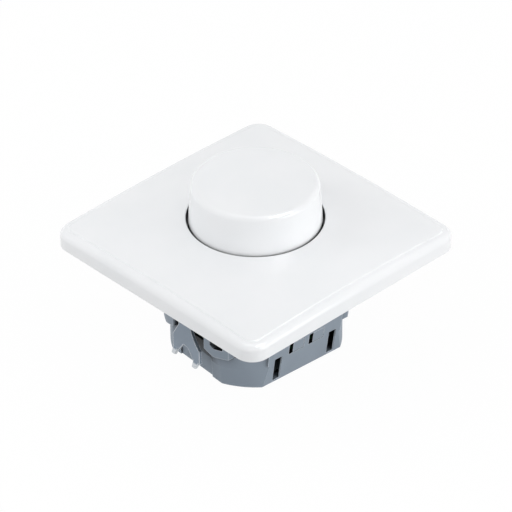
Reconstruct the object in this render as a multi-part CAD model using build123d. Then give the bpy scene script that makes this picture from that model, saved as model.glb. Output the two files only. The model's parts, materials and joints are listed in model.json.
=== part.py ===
from build123d import *
import os

# Rotary push dimmer for a flush wall box, in millimetres.
# Z = 0 is the wall, +Z points into the room, X is level and Y is up on the wall.

# Reach of cutters that go right through
FAR = 60.0

# Cover plate
PLATE_WIDTH = 82.0
PLATE_CORNER = 5.6
PLATE_DRAFT = 0.5
PLATE_EDGE_ROUND = 1.8
PLATE_WALL = 2.2
CROWN_BASE = 5.09
CROWN_RISE = 6.0
CROWN_REACH = 44.0
PANEL_STEP = 0.3
PANEL_INSET = 2.45
PANEL_EDGE_BEVEL = 0.26
WELL_FLOOR = 3.0
WELL_FLOOR_THICK = 2.0
WELL_RADIUS = 19.95
WELL_WALL = 1.7
WELL_RIM_BEVEL = 0.4
COVER_HOLE_GAP = 0.2
RIB_THICK = 1.4
RIB_BOTTOM = 4.4
PLATE_TOP = CROWN_BASE + CROWN_RISE + 1

# Knob and control shaft
KNOB_BOTTOM = 6.4
KNOB_TOP = 21.8
KNOB_BASE_RADIUS = 19.3
KNOB_TOP_RADIUS = 18.3
KNOB_ROUND = 1.7
KNOB_WALL = 1.8
HUB_RADIUS = 5.2
HUB_BOTTOM = 10.6
KNOB_RIB_THICK = 1.2
KNOB_RIB_RISE = 4.0
CLIP_THICK = 0.6
CLIP_HEIGHT = 2.2
CLIP_OPENING = 4.0
SHAFT_RADIUS = 3.0
SHAFT_TOP = 19.2
SHAFT_BOTTOM = -13.0
SHAFT_FLAT = 1.5
SHAFT_LOWER_FLAT = -4.2
RUNNING_GAP = 0.05

# The insert sits slightly turned behind the plate, in degrees about the knob's axis
INSERT_TURN = -4.0

# Support frame behind the plate
FRAME_WIDTH = 71.0
FRAME_THICK = 1.2
FRAME_OPENING = 17.0
FRAME_CORNER = 4.0
FRAME_FLANGE = 1.4
FRAME_FLANGE_SETBACK = 9.0
FRAME_HOLE_PLACE = 28.0
FRAME_HOLE_RADIUS = 2.6
BOX_SCREW_SPACING = 60.0
BOX_SLOT_LENGTH = 6.0
BOX_SLOT_WIDTH = 3.6
RIVET_PLACE = (12.5, 14.0)
RIVET_RADIUS = 1.25
RIVET_HEAD_RADIUS = 2.1
RIVET_HEAD_THICK = 0.8
RIVET_GAP = 0.02
NUT_ACROSS = 14.0
NUT_CORNER_RADIUS = 7.9
NUT_CORNER_BEVEL = 0.5
THREAD_GAP = 0.02
NUT_THICK = 2.4
WASHER_RADIUS = 8.6
WASHER_THICK = 0.8

# Plastic carrier, the upper half of the insert
CARRIER_RADIUS = 26.7
CARRIER_HALF_DEPTH = 19.75
CARRIER_FLANK = 20.7
FLANK_START = 14.0
CARRIER_BOTTOM = -22.15
CARRIER_WALL = 1.8
CARRIER_ROOF = 2.2
CLAW_POCKET_HALF = 7.1
CLAW_POCKET_FAR = 5.25
CLAW_POCKET_BACK = 20.2
CLAW_POCKET_WALL = 2.2
POCKET_EDGE_BEVEL = 0.4
BLOCK_END = 14.5
BLOCK_INNER = 21.0
BLOCK_CORNER_START = -19.8
BLOCK_CORNER_WIDTH = 3.25
FAR_CORNER_START = -19.3
FAR_CORNER_WIDTH = 6.0
BLOCK_WINDOW = (9.3, 13.0)
BLOCK_WINDOW_BOTTOM = -19.3
BLOCK_WINDOW_TOP = -16.6
BLOCK_WINDOW_CORNER = 1.1
NOTCH_START = 12.4
NOTCH_TOP = -15.0
BOARD_STOP_HALF = 10.0
BUSHING_GAP = 0.15

# Rear housing, the lower half of the insert
HOUSING_RADIUS = 24.9
HOUSING_BOTTOM = -32.6
HOUSING_RIM = -22.2
TONGUE_TOP = -17.0
TONGUE_HALF = 13.6
HOUSING_HALF_X = 22.25
HOUSING_HALF_Y = 20.1
HOUSING_LEAN_X = 0.05
HOUSING_LEAN_Y = 0.16
HOUSING_WALL = 1.6
HOUSING_EDGE_BEVEL = 0.45
CLAW_RECESS = 0.45
SLOT_PLACES = (-9.7, 10.5)
SLOT_WIDTH = 2.2
SLOT_BOTTOM = -31.6
SLOT_TOP = -23.6
SLOT_BEVEL = 0.3
SLOT_WALL = 0.4
SLOT_RELIEF_LEFT = 0.2
SLOT_RELIEF_RIGHT = 1.8
WINDOW_BOTTOM = -24.0
WINDOW_TOP = -20.2
WINDOWS = ((-6.0, -0.4), (1.4, 7.0))
LUGS = ((-4.5, -0.45), (2.9, 6.95))
LUG_REACH = 22.03
LUG_THICK = 0.7
LUG_PLAY = 0.1
LUG_ROOT_BOTTOM = -21.4
LUG_GAP = 1.5
CORNER_TAB_TOP = -18.0
CORNER_TAB_START = 14.9
CORNER_TAB_INNER = 12.8
POST_RADIUS = 1.8
POST_PLACE = 14.2
SCREW_ACCESS_RADIUS = 2.3

# Circuit board
BOARD_TOP = -23.6
BOARD_THICK = 1.6
BOARD_HALF_X = 19.9
BOARD_HALF_Y = 18.9
BOARD_RADIUS = 22.4

# Spreading claws and their screws
CLAW_FACE = 26.5
CLAW_THICK = 1.0
CLAW_NECK = 5.3
CLAW_NECK_END = -16.1
CLAW_FLARE = (-4.0, -19.0)
CLAW_SHOULDER = (-6.45, -22.0)
CLAW_FAR_NECK_END = -16.9
CLAW_FAR_SHOULDER = (5.4, -21.65)
CLAW_LEG_END = -26.4
CLAW_ARCH = ((3.1, -26.4), (0.6, -22.95), (-1.25, -23.3), (-2.5, -24.7), (-3.38, -26.4))
CLAW_ARCH_ROUND = 0.5
CLAW_PIVOT_X = 19.8
CLAW_PIVOT_Z = -8.5
CLAW_BEAD = 0.9
CLAW_TAB_WIDTH = 9.0
CLAW_TAB_START = 1.2
CLAW_SLOT_LENGTH = 5.0
CLAW_SLOT_WIDTH = 4.0
CLAW_SCREW_X = 23.5
CLAW_SCREW_RADIUS = 1.6
CLAW_SCREW_END = -16.0
CLAW_SCREW_GAP = 0.3
CLAW_SCREW_HEAD = 1.4
CLAW_SCREW_HEAD_RADIUS = 3.1
CLAW_SCREW_SLOT = 0.8
CLAW_SCREW_SEAT = 0.02
TOOTH_OUT = 0.9
TOOTH_DOWN = 1.6
TOOTH_LENGTH = 2.3
TEETH = ((-4.9, 2.4), (4.25, 1.9))
TOOTH_TIP = 1.2

# Potentiometer and push switch
BUSHING_RADIUS = 5.0
BUSHING_TOP = 9.2
POT_RADIUS = 8.6
POT_WALL = 0.8
POT_BOTTOM = -12.2
TRACK_OUTER = 7.4
TRACK_INNER = 4.4
TRACK_OPENING = 2.4
WIPER_TOP = -5.4
WIPER_THICK = 1.4
WIPER_RADIUS = 7.2
WIPER_HUB = 5.4
POT_PIN_PLACES = (-3.0, 0.0, 3.0)
POT_PIN_WIDTH = 1.0
POT_PIN_THICK = 0.5
SWITCH_BOTTOM = -19.4
SWITCH_HALF = 7.6
SWITCH_INNER = 6.4
SWITCH_FLOOR = 1.9
SWITCH_PIN = 0.8
SWITCH_PIN_PLACE = (6.0, 5.0)
SLIDER_RADIUS = 4.6
SLIDER_THICK = 1.5
SLIDER_GAP = 0.02
PEG_RADIUS = 1.9
PEG_LENGTH = 1.3
SPRING_GROOVE = 0.8
SPRING_RADIUS = 3.2
SPRING_WIRE = 0.6

# Power switch on its heat sink
SINK_X = (-1.0, 14.0)
SINK_Y = (-17.4, -15.9)
SINK_TOP = -5.0
SINK_FOOT_END = -9.8
SINK_FOOT_TOP = -9.0
TRIAC_X = (2.0, 12.0)
TRIAC_FRONT = -11.6
TRIAC_TAB_FRONT = -14.6
TRIAC_BOTTOM = -19.6
TRIAC_TOP = -10.6
TRIAC_TAB_TOP = -6.0
TRIAC_LEG = 0.8
TRIAC_LEG_PITCH = 2.5
TRIAC_LEG_Y = (-13.8, -13.2)
TRIAC_SCREW_PLACE = (7.0, -8.0)
TRIAC_SCREW_RADIUS = 1.5
TRIAC_SCREW_HEAD = 2.4

# Small components on the board
FILM_BOX = ((5.4, 15.4), (10.0, 16.0), -11.5)
TIMING_BOX = ((-3.4, 3.8), (13.6, 16.8), -17.2)
LEAD_HEIGHT = 1.2
RESISTOR_PLACES = (9.6, 11.8)
RESISTOR_RADIUS = 0.95
RESISTOR_HALF = 3.0
RESISTOR_REACH = 4.5
RESISTOR_LEAD = 0.5
DIAC_X = 14.6
DIAC_RADIUS = 0.85
DIAC_BODY = (-4.0, 0.0)
DIAC_REACH = (-5.6, 1.6)
DIAC_LEAD = 0.4

# Interference choke
CHOKE_X = -10.5
CHOKE_Y = 12.8
CHOKE_Z = -17.3
CHOKE_OUTER = 5.0
CHOKE_INNER = 2.4
CHOKE_THICK = 4.6
CHOKE_TURNS = 9
CHOKE_PITCH = 35
CHOKE_START = -50
WINDING_THICK = 0.7
WINDING_WIDTH = 0.8

# Fuse
FUSE_LEFT = -15.8
FUSE_RIGHT = -1.4
FUSE_CAP = 4.0
FUSE_CAP_RADIUS = 2.6
FUSE_TUBE_RADIUS = 2.4
FUSE_CLIP_WIDTH = 3.0
FUSE_CLIP_GAP = 2.7
FUSE_CLIP_THICK = 0.5
FUSE_Y = -12.4
FUSE_Z = -19.6

# Terminals
TERMINAL_PLACES = (-9.0, 0.0, 9.0)
WIRE_Y = 13.0
WIRE_HOLE = 1.6
TERMINAL_HALF = 3.0
TERMINAL_Y = (10.4, 16.6)
TERMINAL_ROOF = 1.2
TERMINAL_SCREW_Z = -28.2
TERMINAL_SCREW_RADIUS = 1.5
TERMINAL_SCREW_TIP = 0.3
TERMINAL_HEAD_RADIUS = 2.0
TERMINAL_HEAD = (16.65, 18.2)
TERMINAL_SLOT_WIDTH = 0.7
TERMINAL_SLOT_DEPTH = 0.7


def rod(radius, bottom, top, at=(0.0, 0.0)):
    """Upright cylinder between two heights."""
    return Pos(at[0], at[1], (bottom + top) / 2) * Cylinder(radius, top - bottom)


def ring(outer, inner, bottom, top, at=(0.0, 0.0)):
    """Upright tube between two heights."""
    return rod(outer, bottom, top, at) - rod(inner, bottom - 1, top + 1, at)


def block(xs, ys, zs):
    """Box between three pairs of limits."""
    middle = [(pair[0] + pair[1]) / 2 for pair in (xs, ys, zs)]
    sizes = [pair[1] - pair[0] for pair in (xs, ys, zs)]
    return Pos(*middle) * Box(*sizes)


def bar_x(radius, x0, x1, y, z):
    """Cylinder that lies along X."""
    return Pos((x0 + x1) / 2, y, z) * Rot(0, 90, 0) * Cylinder(radius, x1 - x0)


def bar_y(radius, y0, y1, x, z):
    """Cylinder that lies along Y."""
    return Pos(x, (y0 + y1) / 2, z) * Rot(90, 0, 0) * Cylinder(radius, y1 - y0)


def hexagon(across_flats, bottom, top):
    """Upright hexagonal prism."""
    outline = RegularPolygon(across_flats / 2, 6, major_radius=False)
    return Pos(0, 0, bottom) * extrude(outline, top - bottom)


def half_turn(shape):
    """The same shape on the opposite side of the Z axis."""
    return Rot(0, 0, 180) * shape


def turned(shape):
    """The same shape in the insert's slightly turned position."""
    return Rot(0, 0, INSERT_TURN) * shape


def crowned_block(drop):
    """Solid under the plate's crowned front, which rises softly from the edges to the middle."""
    places = (-CROWN_REACH, 0, CROWN_REACH)
    shares = (0, 2, 0)
    height = CROWN_BASE - drop
    net = [
        [(x, y, height + CROWN_RISE * a * b) for y, b in zip(places, shares)]
        for x, a in zip(places, shares)
    ]
    skin = Face.make_bezier_surface(net)
    return extrude(skin, amount=FAR, dir=(0, 0, -1))


def square_form(inset, bottom, top, lean):
    """Square with rounded corners, stepped in from the plate's edge, with leaning sides."""
    width = PLATE_WIDTH - 2 * inset
    outline = RectangleRounded(width, width, PLATE_CORNER - inset)
    return Pos(0, 0, bottom) * extrude(outline, amount=top - bottom, taper=lean)


def plate_body():
    """Outer form of the plate: a rounded rim and the crowned panel stepped up from it."""
    rim = square_form(0, 0, PLATE_TOP, PLATE_DRAFT) & crowned_block(PANEL_STEP)
    rim = fillet(rim.faces().sort_by(Axis.Z)[-1].edges(), PLATE_EDGE_ROUND)
    panel = square_form(PANEL_INSET, 0, PLATE_TOP, 0) & crowned_block(0)
    panel = chamfer(panel.faces().sort_by(Axis.Z)[-1].edges(), PANEL_EDGE_BEVEL)
    return rim + panel


def cover_plate():
    """White front plate: hollow behind, with a well that holds the nut under the knob."""
    hollow = square_form(PLATE_WALL, 0, PLATE_TOP, PLATE_DRAFT) & crowned_block(PLATE_WALL + PANEL_STEP)
    shell = plate_body() - hollow
    under = crowned_block(PLATE_WALL / 2)
    well = rod(WELL_RADIUS + WELL_WALL, WELL_FLOOR, PLATE_TOP) & under
    rib = block((-FAR, FAR), (-RIB_THICK / 2, RIB_THICK / 2), (RIB_BOTTOM, PLATE_TOP))
    ribs = Rot(0, 0, 45) * rib + Rot(0, 0, -45) * rib
    shell += well + (ribs & under & square_form(PLATE_WALL / 2, 0, PLATE_TOP, PLATE_DRAFT))
    shell -= rod(WELL_RADIUS, WELL_FLOOR + WELL_FLOOR_THICK, FAR)
    shell -= rod(BUSHING_RADIUS + COVER_HOLE_GAP, 0, FAR)
    share = WELL_RADIUS ** 2 / (2 * CROWN_REACH ** 2)
    rim_height = CROWN_BASE + CROWN_RISE * (1 - share) ** 2
    bevel = Cone(WELL_RADIUS - 1, WELL_RADIUS + 1, 2)
    return shell - Pos(0, 0, rim_height - WELL_RIM_BEVEL + 0.15) * bevel


def knob():
    """Hollow turning knob with a D-bored hub and stiffening ribs."""
    height = KNOB_TOP - KNOB_BOTTOM
    outer = Cone(KNOB_BASE_RADIUS, KNOB_TOP_RADIUS, height)
    rim = outer.edges().sort_by(Axis.Z)[-1]
    outer = Pos(0, 0, KNOB_BOTTOM + height / 2) * fillet(rim, KNOB_ROUND)
    cave = Cone(KNOB_BASE_RADIUS - KNOB_WALL, KNOB_TOP_RADIUS - KNOB_WALL, height)
    shell = outer - Pos(0, 0, KNOB_BOTTOM + height / 2 - KNOB_WALL) * cave
    ceiling = KNOB_TOP - KNOB_WALL
    shell += rod(HUB_RADIUS, HUB_BOTTOM, ceiling + 0.5)
    rib_half = KNOB_RIB_THICK / 2
    rib_reach = (HUB_RADIUS - 0.5, KNOB_TOP_RADIUS - KNOB_WALL / 2)
    rib = block(rib_reach, (-rib_half, rib_half), (HUB_BOTTOM + KNOB_RIB_RISE, ceiling + 0.5))
    for angle in range(0, 360, 60):
        shell += Rot(0, 0, angle) * rib
    bore = rod(SHAFT_RADIUS + RUNNING_GAP, HUB_BOTTOM - 1, SHAFT_TOP + 0.2)
    flat = SHAFT_FLAT + RUNNING_GAP
    bore -= block((flat, FAR), (-FAR, FAR), (HUB_BOTTOM + 0.8, FAR))
    return shell - bore


def knob_clip():
    """Open spring ring that grips the knob's hub."""
    inner = HUB_RADIUS + RUNNING_GAP
    bottom = HUB_BOTTOM + CLIP_THICK
    band = ring(inner + CLIP_THICK, inner, bottom, bottom + CLIP_HEIGHT)
    return band - block((0, FAR), (-CLIP_OPENING / 2, CLIP_OPENING / 2), (0, FAR))


def control_shaft():
    """Shaft that turns and slides in the bushing, with a flat for the knob and the wiper."""
    shaft = rod(SHAFT_RADIUS, SHAFT_BOTTOM, SHAFT_TOP)
    shaft -= block((SHAFT_FLAT, FAR), (-FAR, FAR), (HUB_BOTTOM + 0.5, FAR))
    shaft -= block((SHAFT_FLAT, FAR), (-FAR, FAR), (-FAR, SHAFT_LOWER_FLAT))
    return shaft


def bushing():
    """Threaded neck of the potentiometer."""
    return ring(BUSHING_RADIUS, SHAFT_RADIUS + RUNNING_GAP, -CARRIER_ROOF, BUSHING_TOP)


def thin_nut(bottom, thick):
    """Flat hexagon nut on the bushing, with turned corners."""
    nut = hexagon(NUT_ACROSS, bottom, bottom + thick)
    blank = Pos(0, 0, bottom + thick / 2) * Cylinder(NUT_CORNER_RADIUS, thick)
    blank = chamfer(blank.edges().filter_by(GeomType.CIRCLE), NUT_CORNER_BEVEL)
    return (nut & blank) - rod(BUSHING_RADIUS + THREAD_GAP, bottom - 1, bottom + thick + 1)


def washer():
    """Plain washer that the cover plate's well sits on."""
    return ring(WASHER_RADIUS, BUSHING_RADIUS + BUSHING_GAP, WELL_FLOOR - WASHER_THICK, WELL_FLOOR)


def support_frame():
    """Bent steel frame on the wall, screwed to the wall box and carrying the insert."""
    half = FRAME_WIDTH / 2
    sheet = extrude(RectangleRounded(FRAME_WIDTH, FRAME_WIDTH, FRAME_CORNER), amount=FRAME_THICK)
    reach = half - FRAME_FLANGE_SETBACK
    flange = block((-reach, reach), (half - FRAME_THICK, half), (0, FRAME_THICK + FRAME_FLANGE))
    for angle in range(0, 360, 90):
        sheet += Rot(0, 0, angle) * flange
    sheet -= rod(FRAME_OPENING, -FAR, FAR)
    slot = extrude(SlotOverall(BOX_SLOT_LENGTH, BOX_SLOT_WIDTH), amount=FAR)
    for side in (-1, 1):
        sheet -= Pos(0, side * BOX_SCREW_SPACING / 2, -FAR / 2) * Rot(0, 0, 90) * slot
        sheet -= turned(rod(CLAW_SCREW_RADIUS + CLAW_SCREW_GAP, -FAR, FAR, (side * CLAW_SCREW_X, 0)))
        for other in (-1, 1):
            place = (side * RIVET_PLACE[0], other * RIVET_PLACE[1])
            sheet -= turned(rod(RIVET_RADIUS + RIVET_GAP, -FAR, FAR, place))
            corner = (side * FRAME_HOLE_PLACE, other * FRAME_HOLE_PLACE)
            sheet -= rod(FRAME_HOLE_RADIUS, -FAR, FAR, corner)
    return sheet


def frame_rivets():
    """Four rivets that hold the carrier's roof under the frame."""
    rivets = []
    for side in (-1, 1):
        for other in (-1, 1):
            place = (side * RIVET_PLACE[0], other * RIVET_PLACE[1])
            rivet = rod(RIVET_RADIUS, -CARRIER_ROOF, FRAME_THICK, place)
            rivet += rod(RIVET_HEAD_RADIUS, FRAME_THICK, FRAME_THICK + RIVET_HEAD_THICK, place)
            rivet += rod(RIVET_HEAD_RADIUS, -CARRIER_ROOF - RIVET_HEAD_THICK, -CARRIER_ROOF, place)
            rivets.append(rivet.solid())
    return Compound(rivets)


def carrier():
    """Upper plastic half of the insert, with claw pockets and latch lugs."""
    slab = block((-FAR, FAR), (-CARRIER_HALF_DEPTH, CARRIER_HALF_DEPTH), (-FAR, FAR))
    body = rod(CARRIER_RADIUS, CARRIER_BOTTOM, 0) & slab
    inner = CARRIER_HALF_DEPTH - CARRIER_WALL
    hollow = rod(CARRIER_RADIUS - CARRIER_WALL, CARRIER_BOTTOM - 1, -CARRIER_ROOF)
    body -= hollow & block((-FAR, FAR), (-inner, inner), (-FAR, FAR))
    body += carrier_side()
    body += half_turn(carrier_side())
    body -= carrier_cuts()
    body -= half_turn(carrier_cuts())
    body -= rod(BUSHING_RADIUS + BUSHING_GAP, -5, 1)
    return body


def carrier_side():
    """What one half of the carrier adds: a claw pocket, board stop, flank and two latch lugs."""
    back = CLAW_POCKET_BACK - CLAW_POCKET_WALL
    half = CLAW_POCKET_HALF + CARRIER_WALL
    pocket = block((-FAR, -back), (-half, half), (CARRIER_BOTTOM, -CARRIER_ROOF))
    added = pocket & rod(CARRIER_RADIUS, -FAR, FAR)
    added += block((-CLAW_POCKET_BACK, -back), (-half, half), (BOARD_TOP, CARRIER_BOTTOM))
    wall = (-CARRIER_HALF_DEPTH, -CARRIER_HALF_DEPTH + CARRIER_WALL)
    added += block((-BOARD_STOP_HALF, BOARD_STOP_HALF), wall, (BOARD_TOP, CARRIER_BOTTOM))
    flank = block((FLANK_START, FAR), (-CARRIER_FLANK, wall[1]), (CARRIER_BOTTOM, 0))
    added += flank & rod(CARRIER_RADIUS, -FAR, FAR)
    for span in LUGS:
        added += latch_lug(span)
    return added


def latch_lug(span):
    """Lip on the carrier's wall that hangs in a window of the rear housing and locks it."""
    low = WINDOW_BOTTOM + LUG_PLAY
    high = WINDOW_TOP - LUG_PLAY
    root = -CARRIER_HALF_DEPTH + CARRIER_WALL / 2
    back = -LUG_REACH + LUG_THICK
    foot = -LUG_REACH + HOUSING_LEAN_Y * (high - low)
    front = [(root, high), (-LUG_REACH, high), (foot, low)]
    rear = [(foot + LUG_THICK, low), (back, LUG_ROOT_BOTTOM), (root, LUG_ROOT_BOTTOM)]
    face = Plane.YZ * make_face(Polyline(*front, *rear, close=True))
    return Pos(span[0], 0, 0) * extrude(face, amount=span[1] - span[0], dir=(1, 0, 0))


def carrier_cuts():
    """What one half of the carrier loses: the claw space, screw hole, notch and openings."""
    room = (-CLAW_POCKET_HALF, CLAW_POCKET_FAR)
    cuts = block((-FAR, -CLAW_POCKET_BACK), room, (-FAR, -CARRIER_ROOF))
    groove_half = CLAW_TAB_WIDTH / 2 + 0.1
    cuts += bar_y(CLAW_BEAD + 0.1, -groove_half, groove_half, -CLAW_PIVOT_X, CLAW_PIVOT_Z)
    cuts += rod(CLAW_SCREW_RADIUS + CLAW_SCREW_GAP, -5, 1, (-CLAW_SCREW_X, 0))
    # corner notch beside the claw block, for the housing's corner tab
    notch = block((-FAR, -NOTCH_START), (-FAR, -BLOCK_END), (-FAR, NOTCH_TOP))
    cuts += notch - rod(CARRIER_RADIUS - 2 * CARRIER_WALL, -FAR, FAR)
    wall = (-CARRIER_HALF_DEPTH - 1, -CARRIER_HALF_DEPTH + CARRIER_WALL + 1)
    for span in LUGS:
        gap = (span[0] - LUG_GAP, span[0] + LUG_GAP)
        cuts += block(gap, wall, (WINDOW_BOTTOM - 1, LUG_ROOT_BOTTOM))
    far_block = block_cuts(CLAW_POCKET_FAR, FAR_CORNER_START, FAR_CORNER_WIDTH)
    near_block = block_cuts(CLAW_POCKET_HALF, BLOCK_CORNER_START, BLOCK_CORNER_WIDTH) + block_window()
    cuts += far_block + mirror(near_block, about=Plane.XZ)
    for side in (-1, 1):
        rivet_place = (-RIVET_PLACE[0], side * RIVET_PLACE[1])
        cuts += rod(RIVET_RADIUS + RIVET_GAP, -5, 1, rivet_place)
    return cuts


def block_cuts(edge, start, width):
    """Bevelled edge and cut corner of the block on the +Y side of a claw pocket."""
    beyond = edge - 1
    inner = edge + POCKET_EDGE_BEVEL
    face = -(CARRIER_RADIUS ** 2 - inner ** 2) ** 0.5
    back = face + POCKET_EDGE_BEVEL
    bevel = [(-FAR, beyond), (back, beyond), (back, edge), (face, inner), (-FAR, inner)]
    depth = -CARRIER_BOTTOM - CARRIER_ROOF
    cuts = Pos(0, 0, CARRIER_BOTTOM) * extrude(make_face(Polyline(*bevel, close=True)), amount=depth)
    low = CARRIER_BOTTOM - 1
    end = edge + width
    corner = [(beyond, low), (beyond, start), (edge, start), (end, CARRIER_BOTTOM), (end, low)]
    return cuts + outer_cut(corner)


def block_window():
    """Small window in the block on the +Y side of a claw pocket."""
    left, right = BLOCK_WINDOW
    bottom, top = BLOCK_WINDOW_BOTTOM, BLOCK_WINDOW_TOP
    step = BLOCK_WINDOW_CORNER
    sill = [(left, bottom + step), (left + step, bottom), (right, bottom)]
    return outer_cut([*sill, (right, top), (left, top)])


def outer_cut(outline):
    """Cutter of a Y-Z outline through the carrier's outer wall on the -X side."""
    face = Plane.YZ * make_face(Polyline(*outline, close=True))
    return Pos(-FAR, 0, 0) * extrude(face, amount=FAR - BLOCK_INNER, dir=(1, 0, 0))


def leaning_slab(half, lean, bottom, top, along_x):
    """Slab whose two long faces lean outwards from its bottom edge up."""
    wide = half + lean * (top - bottom)
    outline = Polyline((-half, bottom), (half, bottom), (wide, top), (-wide, top), close=True)
    plane = Plane.XZ if along_x else Plane.YZ
    return extrude(plane * make_face(outline), amount=FAR, both=True)


def housing_form(inset, bottom, top):
    """Round-cornered block with leaning flats, stepped in by a wall thickness."""
    rise = bottom - HOUSING_BOTTOM
    half_x = HOUSING_HALF_X - inset + HOUSING_LEAN_X * rise
    half_y = HOUSING_HALF_Y - inset + HOUSING_LEAN_Y * rise
    form = rod(HOUSING_RADIUS - inset, bottom, top)
    form &= leaning_slab(half_x, HOUSING_LEAN_X, bottom, top, True)
    return form & leaning_slab(half_y, HOUSING_LEAN_Y, bottom, top, False)


def housing_tongue():
    """Wall on the -Y side that runs up past the rim and takes the carrier's lugs."""
    outer = leaning_slab(HOUSING_HALF_Y, HOUSING_LEAN_Y, HOUSING_BOTTOM, TONGUE_TOP, False)
    inner = leaning_slab(HOUSING_HALF_Y - HOUSING_WALL, HOUSING_LEAN_Y, HOUSING_BOTTOM, TONGUE_TOP, False)
    keep = block((-TONGUE_HALF, TONGUE_HALF), (-FAR, 0), (WINDOW_BOTTOM - 1, TONGUE_TOP))
    return (outer - inner) & keep


def corner_tab():
    """Short wall on the -X, -Y corner that runs up into the carrier's notch."""
    wall = housing_form(0, HOUSING_BOTTOM, CORNER_TAB_TOP)
    wall -= housing_form(HOUSING_WALL, HOUSING_BOTTOM, CORNER_TAB_TOP + 1)
    corner = block((-FAR, -CORNER_TAB_INNER), (-FAR, -CORNER_TAB_START), (HOUSING_RIM - 1, CORNER_TAB_TOP))
    return wall & corner


def housing_cuts():
    """Slots and latch windows through the wall on the -Y side."""
    through = (-FAR, -HOUSING_HALF_Y + HOUSING_WALL + 1)
    cuts = [block(span, through, (WINDOW_BOTTOM, WINDOW_TOP)) for span in WINDOWS]
    thin = leaning_slab(HOUSING_HALF_Y - SLOT_WALL, HOUSING_LEAN_Y, HOUSING_BOTTOM, TONGUE_TOP, False)
    for place in SLOT_PLACES:
        left, right = place - SLOT_WIDTH / 2, place + SLOT_WIDTH / 2
        relief = (left - SLOT_RELIEF_LEFT, right + SLOT_RELIEF_RIGHT)
        cuts.append(block((left, right), through, (SLOT_BOTTOM, SLOT_TOP)))
        cuts.append(slot_bevel(place))
        cuts.append(block(relief, through, (SLOT_BOTTOM, SLOT_TOP + SLOT_BEVEL)) & thin)
    return cuts


def slot_bevel(place):
    """Bevel round the mouth of a slot, square to the leaning wall."""
    middle = (SLOT_BOTTOM + SLOT_TOP) / 2
    wall = -HOUSING_HALF_Y - HOUSING_LEAN_Y * (middle - HOUSING_BOTTOM)
    face = Plane(origin=(place, wall, middle), x_dir=(1, 0, 0), z_dir=(0, -1, -HOUSING_LEAN_Y))
    mouth = Rectangle(SLOT_WIDTH + 2 * SLOT_BEVEL, SLOT_TOP - SLOT_BOTTOM + 2 * SLOT_BEVEL)
    return face * extrude(mouth, amount=-SLOT_BEVEL, taper=45)


def rear_housing():
    """Lower plastic half of the insert: a drafted tub with the wire entries in its back."""
    floor = HOUSING_BOTTOM + HOUSING_WALL
    outer = housing_form(0, HOUSING_BOTTOM, HOUSING_RIM)
    recess = block(
        (-FAR, -HOUSING_HALF_X + CLAW_RECESS), (-CLAW_POCKET_HALF, CLAW_POCKET_HALF), (HOUSING_BOTTOM - 1, 0)
    )
    outer -= recess
    outer -= half_turn(recess)
    base = outer.faces().sort_by(Axis.Z)[0]
    outer = chamfer(base.edges(), HOUSING_EDGE_BEVEL)
    tub = outer - housing_form(HOUSING_WALL, floor, HOUSING_RIM + 1)
    raised = housing_tongue() + corner_tab()
    tub += raised
    tub += half_turn(raised)
    for cut in housing_cuts():
        tub -= cut
        tub -= half_turn(cut)
    for side in (-1, 1):
        for other in (-1, 1):
            place = (side * POST_PLACE, other * POST_PLACE)
            tub += rod(POST_RADIUS, floor - 0.5, BOARD_TOP - BOARD_THICK, place)
    for place in TERMINAL_PLACES:
        tub -= rod(WIRE_HOLE, HOUSING_BOTTOM - 1, floor + 1, (place, WIRE_Y))
        tub -= bar_y(SCREW_ACCESS_RADIUS, WIRE_Y, FAR, place, TERMINAL_SCREW_Z)
    return tub


def claw():
    """Sheet-steel claw on the -X side: hooked tab, neck, spread legs and bent teeth."""
    neck = CLAW_NECK / 2
    tab_top = CLAW_PIVOT_Z + CLAW_THICK / 2
    flare = ThreePointArc((-neck, CLAW_NECK_END), CLAW_FLARE, CLAW_SHOULDER)
    legs = [CLAW_SHOULDER, (CLAW_SHOULDER[0], CLAW_LEG_END), (CLAW_FAR_SHOULDER[0], CLAW_LEG_END)]
    top = [(neck, CLAW_FAR_NECK_END), (neck, tab_top), (-neck, tab_top), (-neck, CLAW_NECK_END)]
    rest = Polyline(*legs, CLAW_FAR_SHOULDER, *top)
    outline = make_face([flare.edge(), *rest.edges()])
    below = CLAW_LEG_END - 1
    arch = make_face(Polyline(*CLAW_ARCH, (CLAW_ARCH[-1][0], below), (CLAW_ARCH[0][0], below), close=True))
    outline -= fillet(arch.vertices().sort_by(Axis.Y)[-3:], CLAW_ARCH_ROUND)
    sheet = Pos(-CLAW_FACE, 0, 0) * extrude(Plane.YZ * outline, amount=CLAW_THICK, dir=(1, 0, 0))
    tab_half = CLAW_TAB_WIDTH / 2
    tab_heights = (tab_top - CLAW_THICK, tab_top)
    sheet += block((-CLAW_FACE, -CLAW_PIVOT_X), (-neck, neck), tab_heights)
    wider = (-CLAW_FACE + CLAW_TAB_START, -CLAW_PIVOT_X)
    sheet += block(wider, (-tab_half, tab_half), tab_heights)
    sheet += bar_y(CLAW_BEAD, -tab_half, tab_half, -CLAW_PIVOT_X, CLAW_PIVOT_Z)
    slot = extrude(SlotOverall(CLAW_SLOT_LENGTH, CLAW_SLOT_WIDTH), amount=4 * CLAW_THICK)
    sheet -= Pos(-CLAW_SCREW_X, 0, CLAW_PIVOT_Z - 2 * CLAW_THICK) * slot
    for place, width in TEETH:
        sheet += Pos(0, place, 0) * tooth(width)
    return sheet


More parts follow.
